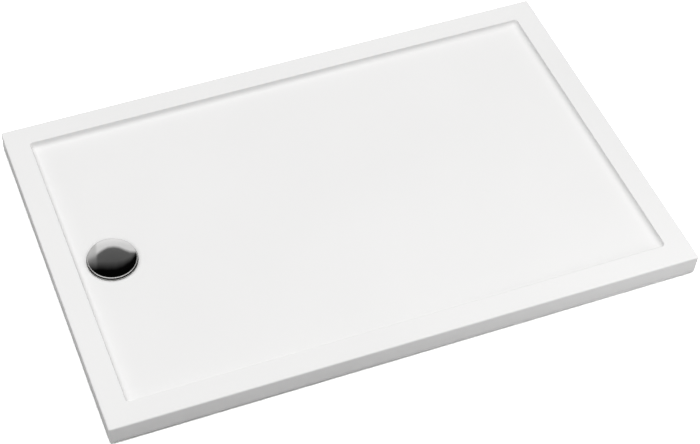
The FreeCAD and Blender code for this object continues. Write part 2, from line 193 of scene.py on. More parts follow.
def ramp(mat, value, stops):
    """Colours at places from 0 to 1 along a value."""
    tree = mat.node_tree
    node = tree.nodes.new("ShaderNodeValToRGB")
    elements = node.color_ramp.elements
    while len(elements) < len(stops):
        elements.new(0.5)
    for element, (at, colour) in zip(elements, stops):
        element.position = at
        element.color = (*colour, 1.0)
    tree.links.new(value, node.inputs["Fac"])
    return node.outputs["Color"]


def to_range(mat, value, low, high, from_low=0.0, from_high=1.0):
    """A value that runs from low to high while the given one goes through its own range."""
    tree = mat.node_tree
    node = tree.nodes.new("ShaderNodeMapRange")
    node.inputs["From Min"].default_value = from_low
    node.inputs["From Max"].default_value = from_high
    node.inputs["To Min"].default_value = low
    node.inputs["To Max"].default_value = high
    tree.links.new(value, node.inputs["Value"])
    return node.outputs["Result"]


def math_of(mat, operation, first, second):
    tree = mat.node_tree
    node = tree.nodes.new("ShaderNodeMath")
    node.operation = operation
    for socket, value in zip(node.inputs, (first, second)):
        if isinstance(value, (int, float)):
            socket.default_value = value
        else:
            tree.links.new(value, socket)
    return node.outputs["Value"]


def mixed(mat, factor, first, second, blend="MIX"):
    """Two colours mixed by a factor. Each of the three is a number, a colour or a socket."""
    tree = mat.node_tree
    node = tree.nodes.new("ShaderNodeMix")
    node.data_type = "RGBA"
    node.blend_type = blend
    sockets = (node.inputs[0], node.inputs[6], node.inputs[7])
    for socket, value in zip(sockets, (factor, first, second)):
        if isinstance(value, (int, float)):
            socket.default_value = value
        elif isinstance(value, tuple):
            socket.default_value = (*value, 1.0)
        else:
            tree.links.new(value, socket)
    return node.outputs[2]


def bump(mat, shader, height, distance):
    tree = mat.node_tree
    node = tree.nodes.new("ShaderNodeBump")
    node.inputs["Distance"].default_value = distance
    tree.links.new(height, node.inputs["Height"])
    tree.links.new(node.outputs["Normal"], shader.inputs["Normal"])


def feed(mat, shader, socket, value):
    mat.node_tree.links.new(value, shader.inputs[socket])


# --- materials ---
def acrylic():
    mat, shader = new_material("acrylic_white", (0.9, 0.9, 0.895), roughness=0.1)
    shader.inputs["IOR"].default_value = 1.49
    where = place(mat)
    cloud = noise(mat, where, scale=3.0, detail=3.0)
    speck = noise(mat, where, scale=900.0, detail=1.0)
    tint = ramp(mat, cloud, [(0.3, (0.885, 0.882, 0.878)), (0.7, (0.900, 0.897, 0.893))])
    feed(mat, shader, "Base Color", tint)
    wiped = noise(mat, place(mat, stretch=(1.0, 6.0, 1.0), turn=0.4), scale=14.0, detail=4.0, roughness=0.6)
    feed(mat, shader, "Roughness", to_range(mat, wiped, 0.09, 0.17, from_low=0.35, from_high=0.7))
    fine_peel = math_of(mat, "MULTIPLY", speck, 0.04)
    peel = math_of(mat, "ADD", noise(mat, where, scale=55.0, detail=1.0), fine_peel)
    bump(mat, shader, peel, distance=0.00004)
    return mat


def chrome():
    mat, shader = new_material("chrome", (0.87, 0.865, 0.86), roughness=0.05, metallic=1.0)
    where = place(mat)
    smudge = noise(mat, where, scale=45.0, detail=4.0, roughness=0.6, distortion=0.6)
    feed(mat, shader, "Roughness", to_range(mat, smudge, 0.035, 0.075, from_low=0.35, from_high=0.75))
    tint = ramp(mat, smudge, [(0.3, (0.86, 0.855, 0.85)), (0.7, (0.885, 0.88, 0.87))])
    feed(mat, shader, "Base Color", tint)
    swirl = noise(mat, polar(mat, factors=(2600.0, 1.4, 400.0)), scale=1.0, detail=2.0)
    bump(mat, shader, swirl, distance=0.0000015)
    return mat


def stainless():
    mat, shader = new_material("stainless", (0.62, 0.62, 0.60), roughness=0.28, metallic=1.0)
    turned = noise(mat, polar(mat, factors=(3400.0, 2.0, 2400.0)), scale=1.0, detail=3.0, roughness=0.6)
    stain = noise(mat, place(mat), scale=70.0, detail=3.0)
    feed(mat, shader, "Roughness", to_range(mat, turned, 0.2, 0.42, from_low=0.3, from_high=0.7))
    tint = ramp(mat, stain, [(0.3, (0.56, 0.56, 0.545)), (0.7, (0.66, 0.66, 0.64))])
    feed(mat, shader, "Base Color", tint)
    bump(mat, shader, turned, distance=0.00001)
    return mat


def zinc():
    mat, shader = new_material("zinc", (0.60, 0.62, 0.64), roughness=0.35, metallic=1.0)
    where = place(mat)
    spangle = cells(mat, where, scale=260.0, output="Color")
    cloud = noise(mat, where, scale=120.0, detail=4.0, roughness=0.65)
    shades = [(0.3, (0.50, 0.52, 0.54)), (0.55, (0.62, 0.64, 0.66)), (0.8, (0.68, 0.68, 0.62))]
    feed(mat, shader, "Base Color", mixed(mat, 0.12, ramp(mat, cloud, shades), spangle, "OVERLAY"))
    feed(mat, shader, "Roughness", to_range(mat, cloud, 0.26, 0.5, from_low=0.3, from_high=0.75))
    bump(mat, shader, noise(mat, where, scale=700.0, detail=3.0), distance=0.00002)
    return mat


def moulded(name, colour, grain, roughness):
    """Injection-moulded plastic with a fine grain and faint flow marks."""
    mat, shader = new_material(name, colour, roughness=roughness)
    flow = noise(mat, place(mat, stretch=(1.0, 1.0, 4.0)), scale=30.0, detail=3.0, distortion=1.2)
    dark = tuple(c * 0.9 for c in colour)
    light = tuple(min(1.0, c * 1.06 + 0.004) for c in colour)
    feed(mat, shader, "Base Color", ramp(mat, flow, [(0.3, dark), (0.7, light)]))
    texture = cells(mat, place(mat), scale=1100.0)
    shine = to_range(mat, flow, roughness - 0.07, roughness + 0.1, from_low=0.3, from_high=0.7)
    feed(mat, shader, "Roughness", shine)
    bump(mat, shader, texture, distance=grain)
    return mat


def rubber():
    mat, shader = new_material("black_rubber", (0.03, 0.03, 0.03), roughness=0.75)
    where = place(mat)
    dust = noise(mat, where, scale=160.0, detail=5.0, roughness=0.7)
    shades = [(0.35, (0.022, 0.022, 0.023)), (0.62, (0.035, 0.035, 0.036)), (0.8, (0.075, 0.073, 0.07))]
    feed(mat, shader, "Base Color", ramp(mat, dust, shades))
    feed(mat, shader, "Roughness", to_range(mat, dust, 0.62, 0.88, from_low=0.3, from_high=0.75))
    bump(mat, shader, noise(mat, where, scale=1500.0, detail=2.0), distance=0.00005)
    return mat


def silicone():
    mat, shader = new_material("silicone", (0.70, 0.72, 0.74), roughness=0.35)
    shader.inputs["Subsurface Weight"].default_value = 0.3
    shader.inputs["Subsurface Radius"].default_value = (0.004, 0.004, 0.005)
    cloud = noise(mat, place(mat), scale=150.0, detail=3.0)
    tint = ramp(mat, cloud, [(0.3, (0.66, 0.68, 0.71)), (0.7, (0.74, 0.76, 0.78))])
    feed(mat, shader, "Base Color", tint)
    feed(mat, shader, "Roughness", to_range(mat, cloud, 0.28, 0.45))
    bump(mat, shader, noise(mat, place(mat), scale=900.0, detail=2.0), distance=0.00001)
    return mat


def glass_fibre():
    """Chopped strands lying every way in a cloudy cream resin."""
    mat, shader = new_material("glass_fibre", (0.72, 0.70, 0.60), roughness=0.42)
    layers = 7
    strands = None
    for number in range(layers):
        turn = number * (math.pi / layers + 0.23)
        drawn = place(mat, stretch=(26.0, 520.0, 520.0), turn=turn, tilt=0.9 * math.sin(2.4 * number))
        layer = noise(mat, drawn, scale=1.0, detail=1.0, roughness=0.4, distortion=0.4)
        layer = to_range(mat, layer, 0.0, 1.0, from_low=0.6, from_high=0.76)
        strands = layer if strands is None else math_of(mat, "MAXIMUM", strands, layer)
    cloud = noise(mat, place(mat), scale=22.0, detail=4.0, roughness=0.6)
    resin = ramp(mat, cloud, [(0.3, (0.60, 0.57, 0.45)), (0.7, (0.74, 0.72, 0.61))])
    feed(mat, shader, "Base Color", mixed(mat, strands, resin, (0.83, 0.82, 0.75)))
    feed(mat, shader, "Roughness", to_range(mat, cloud, 0.28, 0.6, from_low=0.3, from_high=0.7))
    bump(mat, shader, math_of(mat, "ADD", strands, cloud), distance=0.0004)
    return mat


def chipboard():
    """Pressed chips of several sizes and woods."""
    mat, shader = new_material("chipboard", (0.58, 0.45, 0.30), roughness=0.85)
    large = place(mat, stretch=(1.0, 0.55, 2.4), turn=0.5)
    small = place(mat, stretch=(0.6, 1.0, 2.4), turn=-0.9)
    tone = cells(mat, large, scale=210.0, output="Color")
    fine = cells(mat, small, scale=520.0, output="Color")
    tree = mat.node_tree
    grey = tree.nodes.new("ShaderNodeRGBToBW")
    tree.links.new(tone, grey.inputs["Color"])
    grey_fine = tree.nodes.new("ShaderNodeRGBToBW")
    tree.links.new(fine, grey_fine.inputs["Color"])
    wood = [(0.1, (0.30, 0.20, 0.11)), (0.4, (0.52, 0.38, 0.23)),
            (0.65, (0.66, 0.52, 0.34)), (0.9, (0.76, 0.64, 0.46))]
    chips = mixed(mat, 0.45, ramp(mat, grey.outputs["Val"], wood), ramp(mat, grey_fine.outputs["Val"], wood))
    dark = noise(mat, place(mat), scale=400.0, detail=3.0)
    chips = mixed(mat, to_range(mat, dark, 0.0, 0.45, from_low=0.62, from_high=0.8), chips, (0.2, 0.13, 0.07))
    feed(mat, shader, "Base Color", chips)
    edges = cells(mat, large, scale=210.0, feature="DISTANCE_TO_EDGE")
    bump(mat, shader, math_of(mat, "ADD", edges, math_of(mat, "MULTIPLY", dark, 0.5)), distance=0.0003)
    return mat


materials = {
    "acrylic_white": acrylic(),
    "glass_fibre": glass_fibre(),
    "chipboard": chipboard(),
    "trap_plastic": moulded("trap_plastic", (0.80, 0.81, 0.80), grain=0.00002, roughness=0.42),
    "grey_plastic": moulded("grey_plastic", (0.22, 0.23, 0.25), grain=0.00004, roughness=0.5),
    "black_rubber": rubber(),
    "silicone": silicone(),
    "stainless": stainless(),
    "chrome": chrome(),
    "zinc": zinc(),
    "black_nylon": moulded("black_nylon", (0.04, 0.04, 0.045), grain=0.00004, roughness=0.48),
}
node_slots = {row["node"]: row["material_slot"] for row in frame["record"]["subparts"]}
for node_name, node in nodes.items():
    node.data.materials.clear()
    node.data.materials.append(materials[node_slots[node_name]])


# --- mesh helpers ---
# The signs of x and y at a rectangle's corners, anticlockwise from above.
corners = ((1, 1), (-1, 1), (-1, -1), (1, -1))
sharp_angle = math.radians(35.0)
merge_distance = 1e-7


def finish_piece(name, mesh, body, *replaced):
    """A piece of the scene from a mesh, with what it rides on and which nodes it stands for."""
    piece = bpy.data.objects.new(name, mesh)
    bpy.context.scene.collection.objects.link(piece)
    slot_name = node_slots[replaced[0]]
    mesh.materials.clear()
    mesh.materials.append(materials[slot_name])
    mesh.shade_smooth()
    mesh.set_sharp_from_angle(angle=sharp_angle)
    even = piece.modifiers.new("even_normals", "WEIGHTED_NORMAL")
    even.keep_sharp = True
    even.weight = 80
    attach(piece, body)
    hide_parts(*replaced)


def skin(loops, closed=True):
    """A mesh over rings of as many points each, joined in order, and back to the first if closed."""
    mesh = bpy.data.meshes.new("skin")
    count = len(loops[0])
    points = [tuple(p) for loop in loops for p in loop]
    faces = []
    steps = len(loops) if closed else len(loops) - 1
    for row in range(steps):
        after = (row + 1) % len(loops)
        for i in range(count):
            j = (i + 1) % count
            faces.append((row * count + i, row * count + j, after * count + j, after * count + i))
    mesh.from_pydata(points, [], faces)
    mesh.validate()
    return outward(mesh)


def outward(mesh):
    """The same mesh without doubled points, its faces turned outward."""
    work = bmesh.new()
    work.from_mesh(mesh)
    bmesh.ops.remove_doubles(work, verts=work.verts, dist=merge_distance)
    bmesh.ops.recalc_face_normals(work, faces=work.faces)
    work.to_mesh(mesh)
    work.free()
    return mesh


def arc(centre, radius, start, end, steps):
    """Points (across, up) along an arc, with angles in degrees."""
    points = []
    for step in range(steps + 1):
        angle = math.radians(start + (end - start) * step / steps)
        points.append((centre[0] + radius * math.cos(angle), centre[1] + radius * math.sin(angle)))
    return points


def corner_arc(number, half_x, half_y, radius, steps):
    """Points round one corner of a rounded rectangle, anticlockwise from above."""
    sign_x, sign_y = corners[number]
    centre = (sign_x * (half_x - radius), sign_y * (half_y - radius))
    return arc(centre, radius, 90 * number, 90 * number + 90, steps=steps)


def circle(at, radius, count):
    angles = [2 * math.pi * i / count for i in range(count)]
    return [(at[0] + radius * math.cos(a), at[1] + radius * math.sin(a)) for a in angles]


def ring(at, radius, height, count):
    return [(x, y, height) for x, y in circle(at, radius, count=count)]


def lathe(profile, at, segments):
    """A turned mesh from (radius, height) points. Points on the axis close to one."""
    return skin([ring(at, radius, height, count=segments) for radius, height in profile], closed=False)


def capped(mesh):
    """The same mesh with its open ends closed."""
    work = bmesh.new()
    work.from_mesh(mesh)
    bmesh.ops.holes_fill(work, edges=work.edges, sides=0)
    bmesh.ops.recalc_face_normals(work, faces=work.faces)
    work.to_mesh(mesh)
    work.free()
    return mesh


# --- tray shell ---
least_outer_corner_r = 0.0005
least_recess_corner_r = 0.0008
cove_r = 0.0125
wall_turn = math.pi / 2 - math.atan2(wall_run, drain_depth)
# A ring this far from a rounded edge keeps the flat beside it flat in shading.
edge_guard = 0.002
hole_guard = 0.001
# The soft dip round the seat: its width, and the power by which it falls.
seat_edge_run = 0.009
seat_edge_bend = 2.2

corner_steps = 10
rim_edge_steps = 8
lip_steps = 6
cove_steps = 14
under_cove_steps = 6
seat_edge_steps = 14
# Places of rings between the cove and the dip, and below the deck, as shares of the way.
deck_shares = (0.02, 0.06, 0.14, 0.26, 0.4, 0.55, 0.7, 0.82, 0.91, 0.97)
underside_shares = (0.25, 0.5, 0.75)
widest_step = 0.045
least_step = 0.002
widest_angle = math.radians(4.0)


def side_shares():
    """Shares along each straight side, close enough together as seen from the drain."""
    half_x = tray_length / 2 - rim_width - wall_run
    half_y = tray_width / 2 - rim_width - wall_run
    arcs = [corner_arc(number, half_x, half_y, recess_corner_r, corner_steps) for number in range(4)]
    sides = []
    for number in range(4):
        start = Vector((*arcs[number][-1], 0)) - drain
        end = Vector((*arcs[(number + 1) % 4][0], 0)) - drain
        run = end - start
        count = max(2, math.ceil(run.length / widest_step))
        marks = {step / count for step in range(1, count)}
        first = math.atan2(start.y, start.x)
        sweep = (math.atan2(end.y, end.x) - first) % (2 * math.pi)
        count = max(1, math.ceil(sweep / widest_angle))
        for step in range(1, count):
            angle = first + sweep * step / count
            across = Vector((-math.sin(angle), math.cos(angle), 0))
            marks.add(-start.dot(across) / run.dot(across))
        kept = []
        for share in sorted(marks):
            if not kept or (share - kept[-1]) * run.length > least_step:
                kept.append(share)
        sides.append(kept)
    return sides


shares = side_shares()


def rectangle_loop(half_x, half_y, radius, height):
    """A ring round a rounded rectangle, with the shared places along its sides."""
    arcs = [corner_arc(number, half_x, half_y, radius, corner_steps) for number in range(4)]
    loop = []
    for number, corner in enumerate(arcs):
        start = Vector(corner[-1])
        end = Vector(arcs[(number + 1) % 4][0])
        loop += corner + [start.lerp(end, share) for share in shares[number]]
    return [(x, y, height) for x, y in loop]


def outer_loop(inset, height):
    """A ring round the tray's upright sides, or inside them by an inset."""
    radius = max(outer_corner_r - inset, least_outer_corner_r)
    return rectangle_loop(tray_length / 2 - inset, tray_width / 2 - inset, radius, height)


def recess_loop(grow, height):
    """A ring on the recess's slanted wall at a height, or outside it by a growth."""
    slant = wall_run * (rim_z - height) / drain_depth
    half_x = tray_length / 2 - rim_width - slant + grow
    half_y = tray_width / 2 - rim_width - slant + grow
    return rectangle_loop(half_x, half_y, max(recess_corner_r + grow, least_recess_corner_r), height)


def deck_height(x, y, drop):
    """The sloping deck's height, or that of a surface below it by a drop."""
    reach = math.hypot(x - drain.x, y - drain.y)
    return deck_z - drop + deck_fall * (reach - seat_r)


spokes = [math.atan2(y - drain.y, x - drain.x) for x, y, height in recess_loop(0.0, deck_z)]


def round_loop(radius, height=None, drop=0.0):
    """A ring round the drain, in line with the recess's foot. Without a height it lies on the deck."""
    loop = []
    for angle in spokes:
        x = drain.x + radius * math.cos(angle)
        y = drain.y + radius * math.sin(angle)
        loop.append((x, y, deck_height(x, y, drop) if height is None else height))
    return loop


def between(first, second, share, drop=0.0):
    """A ring on the deck, a share of the way from one ring to another."""
    spots = [Vector(a).lerp(Vector(b), share) for a, b in zip(first, second)]
    return [(spot.x, spot.y, deck_height(spot.x, spot.y, drop)) for spot in spots]


def recess_lip():
    """Rings from the flat rim round the recess's upper edge onto its wall."""
    reach = recess_lip_r * math.tan(wall_turn / 2)
    rings = [recess_loop(reach + edge_guard, rim_z)]
    for step in range(lip_steps + 1):
        angle = wall_turn * step / lip_steps
        out = reach - recess_lip_r * math.sin(angle)
        down = recess_lip_r * (1 - math.cos(angle))
        slant = wall_run * down / drain_depth
        rings.append(recess_loop(out + slant, rim_z - down))
    return rings


def wall_and_cove(grow, radius, steps):
    """Rings down the foot of the recess's wall and round its cove onto the deck."""
    reach = radius * math.tan(wall_turn / 2)
    rings = []
    for step in range(steps + 1):
        angle = wall_turn * (1 - step / steps)
        inward = reach - radius * math.sin(angle)
        rise = radius * (1 - math.cos(angle))
        top = recess_loop(grow - inward, rim_z)
        low = recess_loop(grow - inward, deck_z)
        loop = []
        for high_point, low_point in zip(top, low):
            down = (rim_z - deck_height(low_point[0], low_point[1], grow)) / drain_depth
            spot = Vector(high_point).lerp(Vector(low_point), down)
            loop.append((spot.x, spot.y, deck_height(spot.x, spot.y, grow) + rise))
        rings.append(loop)
    return rings


def seat_dip():
    """Rings from the deck down a soft dip to the seat of the waste flange."""
    rings = []
    for step in range(1, seat_edge_steps + 1):
        share = step / seat_edge_steps
        radius = seat_r + seat_edge_run * (1 - share)
        rings.append(round_loop(radius, deck_z - seat_depth * share ** seat_edge_bend))
    return rings


def tray_shell_mesh():
    """The sheet's closed skin: up the apron, over the rim, down to the waste hole and back below."""
    t = shell_thickness
    loops = [outer_loop(0.0, floor_gap), outer_loop(0.0, floor_gap + edge_guard),
             outer_loop(0.0, rim_z - rim_edge_r - edge_guard)]
    for inset, height in arc((rim_edge_r, rim_z - rim_edge_r), rim_edge_r, 180, 90, steps=rim_edge_steps):
        loops.append(outer_loop(inset, height))
    loops.append(outer_loop(rim_edge_r + edge_guard, rim_z))
    loops += recess_lip()
    loops += wall_and_cove(0.0, cove_r, cove_steps)
    deck_edge = loops[-1]
    seat_edge = round_loop(seat_r + seat_edge_run)
    loops += [between(deck_edge, seat_edge, share) for share in deck_shares]
    loops.append(seat_edge)
    loops += seat_dip()
    loops += [round_loop(drain_hole_r + hole_guard, seat_z), round_loop(drain_hole_r, seat_z)]
    loops += [round_loop(drain_hole_r, seat_z - t), round_loop(seat_r + t, seat_z - t)]
    dish_edge = round_loop(seat_r + t, drop=t)
    loops.append(dish_edge)
    under = wall_and_cove(t, recess_foot_r + t, under_cove_steps)[::-1]
    loops += [between(dish_edge, under[0], share, drop=t) for share in underside_shares]
    loops += under
    loops += [recess_loop(t, rim_z - t), outer_loop(t, rim_z - t), outer_loop(t, floor_gap)]
    return skin(loops)


finish_piece("tray_shell_fine", tray_shell_mesh(), "tray", "tray_shell")


# --- drain cover ---
cover_edge_guard = 0.0002


def dome_profile(shrink, steps):
    """The dome's outline from its crown to the bottom of its edge, as (radius, height)."""
    edge_low = deck_z + cover_gap
    edge_centre = Vector((cover_r - cover_edge_r, edge_low + cover_edge_height - cover_edge_r))
    dome_r = (edge_centre.x ** 2 + cover_rise ** 2) / (2 * cover_rise) + cover_edge_r
    centre = Vector((0.0, edge_centre.y + cover_rise + cover_edge_r - dome_r))
    lean = (edge_centre - centre).normalized()
    join = math.degrees(math.atan2(lean.y, lean.x))
    points = arc(centre, dome_r - shrink, 90, join, steps=steps)
    points += arc(edge_centre, cover_edge_r - shrink, join, 0, steps=14)[1:]
    points += [(cover_r - shrink, edge_low + cover_edge_guard), (cover_r - shrink, edge_low)]
    return points


def drain_cover_mesh():
    outer = dome_profile(shrink=0.0, steps=48)
    inner = dome_profile(shrink=cover_wall, steps=24)
    return lathe(outer + inner[::-1], drain, segments=192)


finish_piece("drain_cover_fine", drain_cover_mesh(), "drain_cover", "drain_cover")


# --- board and feet ---
# Sizes of the small forms that only the scene has, in metres.
board_edge_r = 0.0003
plate_edge_r = 0.0004
screw_hole_gap = 0.0002

nut_points_per_side = 10
nut_chamfer_start = 0.965
nut_chamfer_angle = math.radians(30)
nut_chamfer_steps = 4
bore_relief = 0.0004

weld_r = 0.0011
weld_end_r = 0.00002
weld_half_length = 0.0034
weld_ripple = 0.12
weld_ripple_turn = 2.4
weld_steps = 16

screw_face_r = 0.0022
screw_head_edge_r = 0.0012
screw_core_r = plate_screw_r * 0.8
screw_tip_r = plate_screw_r * 0.75
screw_neck = 0.0004
screw_tail = 0.0002
screw_tip_length = 0.0003
screw_turns = 7
screw_slot_length = 0.0052
slot_overcut = 0.001
slot_edge_r = 0.00005
screw_turn_by_foot = 0.7
screw_turn_by_corner = 1.9

stud_sides = 36
stud_centre_r = 0.0002
stud_edge = 0.0003
stud_chamfer = 0.001
stud_plain_r = thread_r - thread_depth * 0.4
thread_rows_per_pitch = 8
# How steeply the thread's flanks fall, in thread depths a pitch.
thread_slope = 2.6

pad_sides = 96
pad_edge_r = 0.0004
pad_ribs = 12
rib_columns = 2
rib_height = 0.0005
# Where the ribs run on the pad's slope, and how far they take to end, as shares of the slope.
rib_shares = (0.12, 0.5, 0.88)
rib_ramp = 0.04
hub_foot = 0.0006
opening_edge = 0.0002

sole_edge_r = 0.0005
sole_top_edge = 0.0002
groove_count = 5
groove_first_r = 0.006
groove_spacing = 0.0036
groove_depth = 0.0006
groove_half_width = 0.0007

still = [Matrix.Identity(4)]


def filled(outline, holes, low, high, edge):
    """A flat plate with holes and slightly rounded edges."""
    curve = bpy.data.curves.new("outline", "CURVE")
    curve.dimensions = "2D"
    curve.fill_mode = "BOTH"
    curve.extrude = (high - low) / 2 - edge
    curve.bevel_depth = edge
    curve.bevel_resolution = 2
    curve.offset = -edge
    for points in [outline] + holes:
        spline = curve.splines.new("POLY")
        spline.points.add(len(points) - 1)
        for target, (x, y) in zip(spline.points, points):
            target.co = (x, y, 0, 1)
        spline.use_cyclic_u = True
    holder = bpy.data.objects.new("outline", curve)
    mesh = bpy.data.meshes.new_from_object(holder)
    bpy.data.objects.remove(holder)
    mesh.transform(Matrix.Translation((0, 0, (low + high) / 2)))
    return outward(mesh)


def rounded(half_x, half_y, radius, steps):
    """A rounded rectangle's outline."""
    return [point for number in range(4) for point in corner_arc(number, half_x, half_y, radius, steps)]


def joined(meshes):
    """One mesh out of several, each with the matrices to place copies of it."""
    work = bmesh.new()
    for mesh, matrices in meshes:
        for matrix in matrices:
            copy = mesh.copy()
            copy.transform(matrix)
            work.from_mesh(copy)
            bpy.data.meshes.remove(copy)
    result = bpy.data.meshes.new("joined")
    work.to_mesh(result)
    work.free()
    return result


def foot_places():
    """Foot names and places, read from the foot plates of the frame."""
    places = {}
    for node_name in sorted(nodes):
        if node_name.startswith("foot_plate_"):
            low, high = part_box(node_name)
            places[node_name[len("foot_plate_"):]] = ((low.x + high.x) / 2, (low.y + high.y) / 2)
    return places


def base_board_mesh():
    outline = rounded(tray_length / 2 - board_inset, tray_width / 2 - board_inset, board_corner_r, steps=10)
    holes = [circle(drain, board_hole_r, count=96)]
    holes += [circle(at, stud_hole_r, count=32) for at in feet.values()]
    return filled(outline, holes, board_low_z, board_top_z, edge=board_edge_r)


def nut_mesh(low, high):
    """A hexagon nut with its corners turned down at both ends."""
    count = 6 * nut_points_per_side
    side_turn = math.radians(60)
    flat_r = nut_width / 2
    corner_r = flat_r / math.cos(side_turn / 2)
    start_r = flat_r * nut_chamfer_start
    fall = (corner_r - start_r) * math.tan(nut_chamfer_angle)
    hexagon = []
    for i in range(count):
        within = side_turn * ((i % nut_points_per_side) / nut_points_per_side - 0.5)
        hexagon.append(flat_r / math.cos(within))
    chamfer = [step / nut_chamfer_steps for step in range(nut_chamfer_steps + 1)]
    rows = [(low + fall * k, start_r + (corner_r - start_r) * k) for k in chamfer]
    rows += [(high - fall * k, start_r + (corner_r - start_r) * k) for k in chamfer[::-1]]
    loops = []
    for height, limit in rows:
        loop = []
        for i, across in enumerate(hexagon):
            angle = 2 * math.pi * i / count
            radius = min(across, limit)
            loop.append((radius * math.cos(angle), radius * math.sin(angle), height))
        loops.append(loop)
    wide_r = bore_r + bore_relief
    bore = ((high, wide_r), (high - bore_relief, bore_r), (low + bore_relief, bore_r), (low, wide_r))
    loops += [ring((0, 0), radius, height, count=count) for height, radius in bore]
    return skin(loops)


def weld_bead_mesh():
    """Three short rippled welds that hold the nut to its plate."""
    beads = []
    for number in range(3):
        middle = math.radians(30 + 120 * number)
        out = Vector((math.cos(middle), math.sin(middle), 0))
        along = Vector((-out.y, out.x, 0))
        centre = out * (nut_width / 2) + Vector((0, 0, plate_low_z))
        loops = []
        for step in range(weld_steps + 1):
            share = 2 * step / weld_steps - 1
            ripple = 1 + weld_ripple * math.cos(step * weld_ripple_turn)
            radius = max(weld_r * math.sqrt(1 - share ** 2) * ripple, weld_end_r)
            at = centre + along * (weld_half_length * share)
            section = circle((0, 0), radius, count=12)
            loops.append([at + out * across + Vector((0, 0, up)) for across, up in section])
        beads.append(capped(skin(loops, closed=False)))
    return joined([(bead, still) for bead in beads])


def screw_places():
    half = plate_screw_spacing / 2
    return [(i * half, j * half) for i in (-1, 1) for j in (-1, 1)]


def foot_plate_mesh():
    """A foot's plate with its welded nut."""
    holes = [circle((0, 0), bore_r, count=32)]
    holes += [circle(at, plate_screw_r + screw_hole_gap, count=20) for at in screw_places()]
    outline = rounded(plate_size / 2, plate_size / 2, plate_corner_r, steps=8)
    plate = filled(outline, holes, plate_low_z, board_low_z, edge=plate_edge_r)
    return joined([(plate, still), (nut_mesh(weld_nut_low_z, plate_low_z), still), (weld_bead_mesh(), still)])


def plate_screw_mesh():
    """A pan-headed screw, head down, with a cross recess and a coarse thread."""
    low, top = plate_screw_head_low_z, plate_low_z
    edge_centre = (plate_screw_head_r - screw_head_edge_r, low + screw_head_edge_r)
    profile = [(0.0, low), (screw_face_r, low)]
    profile += arc(edge_centre, screw_head_edge_r, -90, 0, steps=6)
    profile += [(plate_screw_head_r, top), (screw_core_r, top)]
    pitch = (plate_screw_tip_z - top - screw_neck - screw_tail) / screw_turns
    for turn in range(screw_turns):
        base = top + screw_neck + pitch * turn
        profile += [(screw_core_r, base), (plate_screw_r, base + pitch / 2)]
    profile += [(screw_tip_r, plate_screw_tip_z - screw_tip_length), (0.0, plate_screw_tip_z)]
    screw = bpy.data.objects.new("screw", lathe(profile, (0, 0), segments=32))
    bpy.context.scene.collection.objects.link(screw)
    for length, width in ((screw_slot_length, screw_slot_width), (screw_slot_width, screw_slot_length)):
        outline = [(sign_x * length / 2, sign_y * width / 2) for sign_x, sign_y in corners]
        bar = filled(outline, [], low - slot_overcut, low + screw_slot_depth, edge=slot_edge_r)
        cutter = bpy.data.objects.new("cutter", bar)
        bpy.context.scene.collection.objects.link(cutter)
        cut = screw.modifiers.new("slot", "BOOLEAN")
        cut.operation = "DIFFERENCE"
        cut.object = cutter
        shaped = bpy.data.meshes.new_from_object(screw.evaluated_get(bpy.context.evaluated_depsgraph_get()))
        screw.modifiers.clear()
        screw.data = shaped
        bpy.data.objects.remove(cutter)
    bpy.data.objects.remove(screw)
    return shaped


def thread_radius(angle, height):
    """The stud's radius at an angle and height: one thread all the way up, with a chamfer at its top."""
    phase = (height / thread_pitch - angle / (2 * math.pi)) % 1.0
    cut = min(1.0, thread_slope * (0.5 - abs(phase - 0.5)))
    return min(thread_r - thread_depth * cut, thread_r - stud_chamfer + stud_top_z - height)


def flats_radius(angle):
    """The stud's radius where it has its two spanner flats."""
    if abs(math.sin(angle)) * stud_plain_r > stud_flat_half:
        return stud_flat_half / abs(math.sin(angle))
    return stud_plain_r


def stud_mesh():
    """A levelling stud with a real thread, two spanner flats and its collar."""
    collar = ((stud_centre_r, stud_low_z), (stud_collar_r - stud_edge, stud_low_z),
              (stud_collar_r, stud_low_z + stud_edge), (stud_collar_r, stud_collar_top_z - stud_edge),
              (stud_collar_r - stud_edge, stud_collar_top_z), (thread_r - thread_depth, stud_collar_top_z))
    loops = [ring((0, 0), radius, height, count=stud_sides) for radius, height in collar]
    shank = stud_top_z - stud_collar_top_z
    steps = round(shank / thread_pitch * thread_rows_per_pitch)
    for step in range(1, steps + 1):
        height = stud_collar_top_z + shank * step / steps
        on_flats = stud_flats_low_z < height < stud_flats_top_z
        loop = []
        for i in range(stud_sides):
            angle = 2 * math.pi * i / stud_sides
            radius = flats_radius(angle) if on_flats else thread_radius(angle, height)
            loop.append((radius * math.cos(angle), radius * math.sin(angle), height))
        loops.append(loop)
    loops.append(ring((0, 0), stud_centre_r, stud_top_z, count=stud_sides))
    return capped(skin(loops, closed=False))


